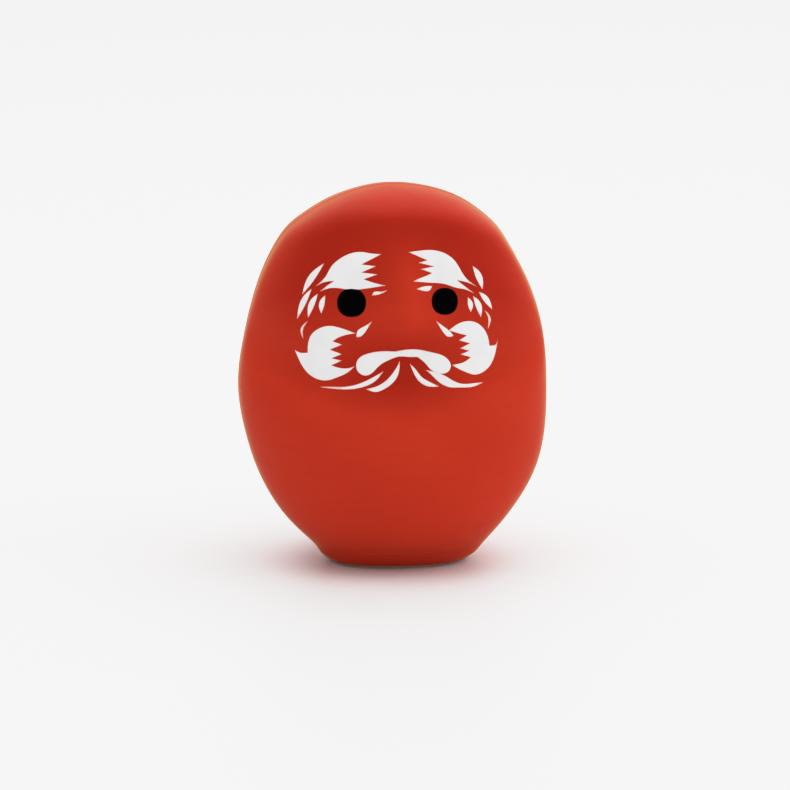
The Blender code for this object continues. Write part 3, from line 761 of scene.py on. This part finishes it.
def noise(tree, place, size, detail=2.0, rough=0.5, distortion=0.0, stretch=None):
    """Noise whose blotches are about size millimetres across."""
    if stretch:
        squeeze = node(tree, "ShaderNodeVectorMath", operation="MULTIPLY")
        squeeze.inputs[1].default_value = stretch
        tree.links.new(place, squeeze.inputs[0])
        place = squeeze.outputs[0]
    made = node(tree, "ShaderNodeTexNoise", _Scale=1.0 / size, _Detail=detail,
                _Roughness=rough, _Distortion=distortion)
    tree.links.new(place, made.inputs["Vector"])
    return made.outputs["Fac"]


def ramp(tree, value, stops):
    """A colour for each value between the stops."""
    made = node(tree, "ShaderNodeValToRGB")
    elements = made.color_ramp.elements
    while len(elements) < len(stops):
        elements.new(0.5)
    for element, (position, colour) in zip(elements, stops):
        element.position = position
        element.color = (*colour, 1.0)
    tree.links.new(value, made.inputs["Fac"])
    return made.outputs["Color"]


def remap(tree, value, low, high, out_low, out_high):
    """A value remapped from low..high to out_low..out_high."""
    made = node(tree, "ShaderNodeMapRange", _From_Min=low, _From_Max=high,
                _To_Min=out_low, _To_Max=out_high)
    tree.links.new(value, made.inputs["Value"])
    return made.outputs["Result"]


def mix_colour(tree, kind, factor, first, second):
    """Two colours mixed. Each of the three inputs is a number, a colour or another node's output."""
    made = node(tree, "ShaderNodeMix", data_type="RGBA", blend_type=kind)
    inputs = [socket for socket in made.inputs if socket.enabled]
    for socket, value in zip(inputs, (factor, first, second)):
        if isinstance(value, bpy.types.NodeSocket):
            tree.links.new(value, socket)
        else:
            socket.default_value = value
    return [socket for socket in made.outputs if socket.enabled][0]


def bump(tree, height, distance, below=None):
    """Relief of so many millimetres, on top of the relief below it."""
    made = node(tree, "ShaderNodeBump", _Strength=1.0, _Distance=distance * 0.001)
    tree.links.new(height, made.inputs["Height"])
    if below is not None:
        tree.links.new(below, made.inputs["Normal"])
    return made.outputs["Normal"]


RED_DEEP = (0.468, 0.0275, 0.0099)
RED_MID = (0.480, 0.0290, 0.0104)
RED_PALE = (0.492, 0.0310, 0.0112)
RED_UNDER_PAINTED_SHADE = (0.75, 0.53, 0.51, 1.0)     # how much of the red is left under the painted shade in the face's hollow
BLOOM_TINT = (0.95, 0.93, 0.40, 1.0)     # of the pale bloom where the paint turns away
MOTTLE = 0.015           # share by which the red varies from spot to spot
STREAKING = 0.018        # and from one brush streak to the next
STREAK_RELIEF = 0.02     # of the brush streaks, the pulp and the powdery paint itself
PULP_RELIEF = 0.025
FINE_RELIEF = 0.006
CLAY_GRAIN = 1.6         # how much rougher the clay is than the shell


def red_paint(name, grain=1.0):
    """Matte red paint brushed over paper pulp or clay."""
    material, tree, shader = new_material(name)
    place = millimetres(tree)
    blotches = noise(tree, place, 22.0, detail=3.0)
    spots = noise(tree, place, 2.2, detail=4.0, rough=0.6)
    streaks = noise(tree, place, 1.4, detail=3.0, stretch=(0.12, 0.12, 1.0))
    pulp = noise(tree, place, 1.6, detail=5.0, rough=0.55, distortion=0.4)
    powder = noise(tree, place, 0.28, detail=3.0, rough=0.6)

    base = ramp(tree, blotches, ((0.3, RED_DEEP), (0.5, RED_MID), (0.72, RED_PALE)))
    streaked = remap(tree, streaks, 0.3, 0.7, 1 - STREAKING, 1 + STREAKING)
    mottled = remap(tree, spots, 0.25, 0.75, 1 - MOTTLE, 1 + MOTTLE)
    coloured = mix_colour(tree, "MULTIPLY", 1.0, base, streaked)
    coloured = mix_colour(tree, "MULTIPLY", 1.0, coloured, mottled)
    # painted shade: each vertex says how far the red is darkened for the shade in the face's hollow
    tone = node(tree, "ShaderNodeAttribute", attribute_name="tone")
    red_with_painted_shade = mix_colour(tree, "MULTIPLY", tone.outputs["Fac"], coloured, RED_UNDER_PAINTED_SHADE)
    tree.links.new(red_with_painted_shade, shader.inputs["Base Color"])

    rough = remap(tree, noise(tree, place, 6.0, detail=4.0), 0.3, 0.7, 0.62, 0.70)
    tree.links.new(rough, shader.inputs["Roughness"])
    surface = bump(tree, streaks, STREAK_RELIEF * grain)
    surface = bump(tree, pulp, PULP_RELIEF * grain, below=surface)
    surface = bump(tree, powder, FINE_RELIEF * grain, below=surface)
    tree.links.new(surface, shader.inputs["Normal"])

    shader.inputs["Specular IOR Level"].default_value = 0.06
    shader.inputs["Sheen Weight"].default_value = 0.46
    shader.inputs["Sheen Roughness"].default_value = 0.2
    shader.inputs["Sheen Tint"].default_value = BLOOM_TINT
    return material


WHITE_BODY = (0.86, 0.86, 0.87)
WHITE_SHADE = (0.81, 0.81, 0.82)
WHITE_THIN = (0.80, 0.50, 0.44, 1.0)


def white_paint():
    """Chalky white brush paint, thin and pink at its edge."""
    material, tree, shader = new_material("white_paint")
    place = millimetres(tree)
    cloud = noise(tree, place, 5.0, detail=3.0)
    body = ramp(tree, cloud, ((0.3, WHITE_SHADE), (0.6, WHITE_BODY)))
    coat = node(tree, "ShaderNodeAttribute", attribute_name="coat")
    cover = remap(tree, coat.outputs["Fac"], 0.0, 0.5, 0.0, 1.0)
    tree.links.new(mix_colour(tree, "MIX", cover, WHITE_THIN, body), shader.inputs["Base Color"])
    shader.inputs["Roughness"].default_value = 0.62
    streaks = noise(tree, place, 0.5, detail=3.0, stretch=(0.25, 0.25, 1.0))
    tree.links.new(bump(tree, streaks, 0.02), shader.inputs["Normal"])
    return material


INK_DEEP = (0.0006, 0.0006, 0.0006)
INK_THIN = (0.001, 0.001, 0.001)


def black_paint():
    """Ink-black paint with a faint satin."""
    material, tree, shader = new_material("black_paint")
    place = millimetres(tree)
    cloud = noise(tree, place, 3.0, detail=3.0)
    tree.links.new(ramp(tree, cloud, ((0.3, INK_DEEP), (0.7, INK_THIN))), shader.inputs["Base Color"])
    rough = remap(tree, noise(tree, place, 1.5, detail=3.0), 0.3, 0.7, 0.6, 0.75)
    tree.links.new(rough, shader.inputs["Roughness"])
    shader.inputs["Specular IOR Level"].default_value = 0.005
    tree.links.new(bump(tree, noise(tree, place, 0.6, detail=3.0), 0.015), shader.inputs["Normal"])
    return material


KRAFT_PALE = (0.46, 0.36, 0.24)
KRAFT_DARK = (0.33, 0.25, 0.16)
JOINING_PALE = (0.74, 0.70, 0.62)
JOINING_DARK = (0.62, 0.57, 0.48)


def paper(name, pale, dark):
    """Uncoated paper with short fibres."""
    material, tree, shader = new_material(name)
    place = millimetres(tree)
    fibres = noise(tree, place, 0.9, detail=6.0, rough=0.7, distortion=2.5)
    tree.links.new(ramp(tree, fibres, ((0.35, dark), (0.62, pale))), shader.inputs["Base Color"])
    shader.inputs["Roughness"].default_value = 0.92
    tree.links.new(bump(tree, fibres, 0.04), shader.inputs["Normal"])
    return material


# ---------------------------------------------------------------- the pieces

def shell(material):
    """Both halves of the shell. Gives back the front's points and faces."""
    points = half_shell_points(math.pi, FRONT_GRID)
    faces = half_shell_faces(FRONT_GRID)
    front = add_piece("front_shell", points, faces, material)
    # painted shade of the face's hollow, on every vertex of the front
    set_point_values(front, "tone", paint_tone(*points.T))
    back_points = half_shell_points(0.0, BACK_GRID)
    add_piece("back_shell", back_points, half_shell_faces(BACK_GRID), material)
    return points, faces


def base_weight(material):
    """The clay plug. Its flange carries the shell's surface on down to the ground."""
    rows = np.linspace(FOOT_ROW, SHELL_ROW, FLANGE_ROWS)
    turns = np.arange(PLUG_COLUMNS) * 2 * math.pi / PLUG_COLUMNS
    row_grid, turn_grid = np.meshgrid(rows, turns, indexing="ij")
    flange = skin(row_grid, turn_grid)[0]
    flange[0, :, 2] = ring_height(FOOT_ROW)
    flange[-1, :, 2] = ring_height(SHELL_ROW)
    lift = gentle((FOOT_ROUNDING - flange[..., 2]) / FOOT_ROUNDING)[..., None]
    middle = flange[0].mean(axis=0)
    flange[..., :2] -= (flange[..., :2] - middle[:2]) / FOOT_REACH * FOOT_TUCK * lift
    under = flange[0].copy()
    under[:, :2] -= (under[:, :2] - middle[:2]) / FOOT_REACH * FOOT_TUCK
    under[:, 2] = DISC_THICKNESS + DISC_GAP
    mouth = ring_reaches(SHELL_ROW) - SPIGOT_INSET
    spigot = [ring_points(mouth, ring_height(SHELL_ROW)),
              ring_points(mouth, SPIGOT_TOP - SPIGOT_CHAMFER),
              ring_points(mouth - SPIGOT_CHAMFER, SPIGOT_TOP)]
    points, faces = stacked_rings([under] + list(flange) + spigot)
    add_piece("base_weight", points, faces, material)


def base_paper(material):
    """The hand-cut paper disc under the weight."""
    wide = ring_reaches(0) - DISC_INSET
    narrow = wide - DISC_EDGE_WIDTH
    levels = ((narrow, 0.0), (wide, DISC_EDGE_HEIGHT),
              (wide, DISC_THICKNESS - DISC_EDGE_HEIGHT), (narrow, DISC_THICKNESS))
    rings = [ring_points(reaches, height, wobble=CUT_WOBBLE) for reaches, height in levels]
    points, faces = stacked_rings(rings)
    add_piece("base_paper", points, faces, material)


def seam_strip(material):
    """The strip keeps the shape that it has in the frame."""
    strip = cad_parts["seam_strip"]
    strip.data.materials.clear()
    strip.data.materials.append(material)


def painted_marks(stencil):
    """Every white stroke and both pupils, each a piece of its own."""
    white = white_paint()
    black = black_paint()
    for name, stretches in OUTLINES.items():
        paint_film(name, stencil, outline_points(stretches), white)
    for name, leaves in TEMPLE_LEAVES.items():
        for number, leaf in enumerate(leaves, start=1):
            paint_film(f"{name}_{number}", stencil, leaf_points(leaf), white)
    for name, oval in PUPILS.items():
        paint_film(name, stencil, oval_points(oval), black, lift=PUPIL_LIFT)


# ---------------------------------------------------------------- the studio

AIM_OFFSET = (0.87, -6.88)    # how far right and up of the doll's middle the camera aims
LENS = 189.34
SENSOR_WIDTH = 36.0
CLIP_RANGE = (0.01, 50.0)

FLOOR_RADIUS = 6.0
FLOOR_SIDES = 96
FLOOR_GREY = (0.88, 0.88, 0.88, 1.0)
SKY_STRENGTH = 0.68
LIGHT_TARGET = (0.0, 0.0, 0.05)
# Name, kind, place, strength, and the breadth: degrees for a sun, metres for an area.
LIGHTS = (
    ("overhead", "SUN", (0.45, 0.1, 2.0), 0.74, 100.0),
    ("behind", "SUN", (0.4, 1.6, 1.3), 0.98, 70.0),
    ("overhead_box", "AREA", (0.0, 0.0, 1.8), 15.0, 2.0),
    ("right_side", "SUN", (1.8, -0.4, 0.65), 0.66, 60.0),
)
# Camera response: light on the scene, shade on the print. Bright tones are eased in.
RESPONSE = (
    (0.0, 0.0),
    (0.3, 0.3),
    (0.6, 0.6),
    (0.8, 0.765),
    (1.0, 0.845),
    (1.2, 0.90),
    (1.5, 0.945),
    (2.0, 1.0),
)


def set_up(name, data, place, target):
    """An object in the scene that looks from its place at the target."""
    made = bpy.data.objects.new(name, data)
    bpy.context.scene.collection.objects.link(made)
    made.location = place
    made.rotation_mode = "QUATERNION"
    made.rotation_quaternion = (Vector(target) - Vector(place)).to_track_quat("-Z", "Y")
    return made


def camera():
    """Looks at the doll from the stencil's eye."""
    data = bpy.data.cameras.new("camera")
    data.lens = LENS
    data.sensor_width = SENSOR_WIDTH
    data.clip_start, data.clip_end = CLIP_RANGE
    aim = DOLL_MIDDLE + ACROSS * AIM_OFFSET[0] + UPWARD * AIM_OFFSET[1]
    bpy.context.scene.camera = set_up("camera", data, EYE * MM, aim * MM)


def light(name, kind, place, strength, breadth):
    data = bpy.data.lights.new(name, kind)
    data.energy = strength
    if kind == "SUN":
        data.angle = math.radians(breadth)
    else:
        data.shape = "SQUARE"
        data.size = breadth
    set_up(name, data, place, LIGHT_TARGET)


def pale_floor():
    """A wide round floor at the doll's foot."""
    bpy.ops.mesh.primitive_circle_add(vertices=FLOOR_SIDES, radius=FLOOR_RADIUS,
                                      fill_type="NGON", location=(0, 0, 0))
    floor = bpy.context.object
    floor.name = "floor"
    material, tree, shader = new_material("floor")
    shader.inputs["Base Color"].default_value = FLOOR_GREY
    shader.inputs["Roughness"].default_value = 0.5
    shader.inputs["Specular IOR Level"].default_value = 0.2
    floor.data.materials.append(material)


def white_sky():
    """Even light from all round."""
    world = bpy.data.worlds.new("studio")
    world.use_nodes = True
    background = world.node_tree.nodes["Background"]
    background.inputs["Color"].default_value = (1.0, 1.0, 1.0, 1.0)
    background.inputs["Strength"].default_value = SKY_STRENGTH
    bpy.context.scene.world = world


def develop():
    """Gives the picture the camera's response."""
    view = bpy.context.scene.view_settings
    view.view_transform = "Standard"
    view.look = "None"
    view.use_curve_mapping = True
    mapping = view.curve_mapping
    brightest = RESPONSE[-1][0]
    mapping.white_level = (brightest, brightest, brightest)
    curve = mapping.curves[3]
    while len(curve.points) < len(RESPONSE):
        curve.points.new(0.5, 0.5)
    for point, (light_level, shade) in zip(curve.points, RESPONSE):
        point.location = (light_level / brightest, shade)
    mapping.update()


front_points, front_faces = shell(red_paint("red_on_pulp"))
base_weight(red_paint("red_on_clay", grain=CLAY_GRAIN))
base_paper(paper("kraft", KRAFT_PALE, KRAFT_DARK))
seam_strip(paper("joining_paper", JOINING_PALE, JOINING_DARK))
painted_marks(Stencil(front_points, front_faces))
camera()
pale_floor()
white_sky()
for lamp in LIGHTS:
    light(*lamp)
develop()
